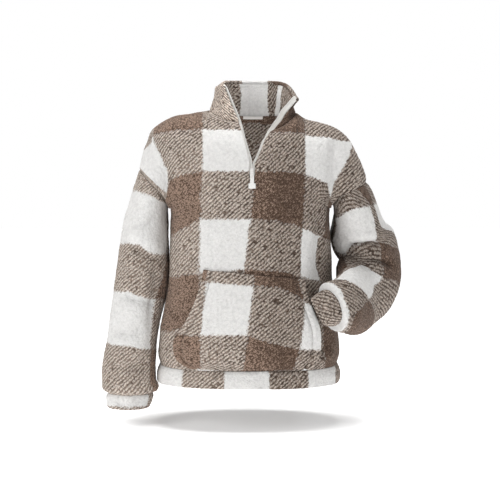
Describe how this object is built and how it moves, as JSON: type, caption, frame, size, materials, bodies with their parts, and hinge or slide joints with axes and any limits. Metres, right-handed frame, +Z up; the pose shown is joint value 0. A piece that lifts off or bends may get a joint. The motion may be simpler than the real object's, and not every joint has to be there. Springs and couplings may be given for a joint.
{
  "type": "half-zip fleece pullover",
  "caption": "Half-zip pile fleece pullover in its worn shape, with a stand collar, dropped shoulders, a kangaroo pocket and straight cuffs and hem.",
  "frame": {"origin": "middle of the neck opening, level with the tops of the shoulders, where the wearer carries the pullover", "axes": "+Z up, -Y toward the front, +X toward the wearer's left"},
  "size_m": [0.7364, 0.3199, 0.7829],
  "materials": {
    "front": "deep pile fleece, woven check",
    "back": "deep pile fleece, woven check",
    "sleeve_right": "deep pile fleece, woven check",
    "sleeve_left": "deep pile fleece, woven check",
    "cuff_right": "deep pile fleece, woven check",
    "cuff_left": "deep pile fleece, woven check",
    "hem_band": "deep pile fleece, woven check",
    "collar": "deep pile fleece, woven check",
    "collar_facing": "deep pile fleece, woven check",
    "pocket": "deep pile fleece, woven check",
    "pocket_edge_right": "deep pile fleece, woven check",
    "pocket_edge_left": "deep pile fleece, woven check",
    "zip_tape_right": "woven zip tape",
    "zip_tape_left": "woven zip tape",
    "zip_slider": "satin",
    "zip_pull": "satin",
    "label": "smooth woven, blank"
  },
  "bodies": {
    "pullover": {"front": "front", "back": "back", "sleeve_right": "sleeve_right", "sleeve_left": "sleeve_left", "cuff_right": "cuff_right", "cuff_left": "cuff_left", "hem_band": "hem_band", "collar": "collar", "collar_facing": "collar_facing", "pocket": "pocket", "pocket_edge_right": "pocket_edge_right", "pocket_edge_left": "pocket_edge_left", "zip_tape_right": "zip_tape_right", "zip_tape_left": "zip_tape_left", "zip_slider": "zip_slider", "label": "label"},
    "pull": {"zip_pull": "zip_pull"}
  },
  "joints": [
    {"name": "pull_hinge", "type": "hinge", "parent": "pullover", "child": "pull", "pos_m": [0, -0.1331, -0.1325], "axis": [1, 0, 0], "range_deg": [-120, 0]}
  ]
}
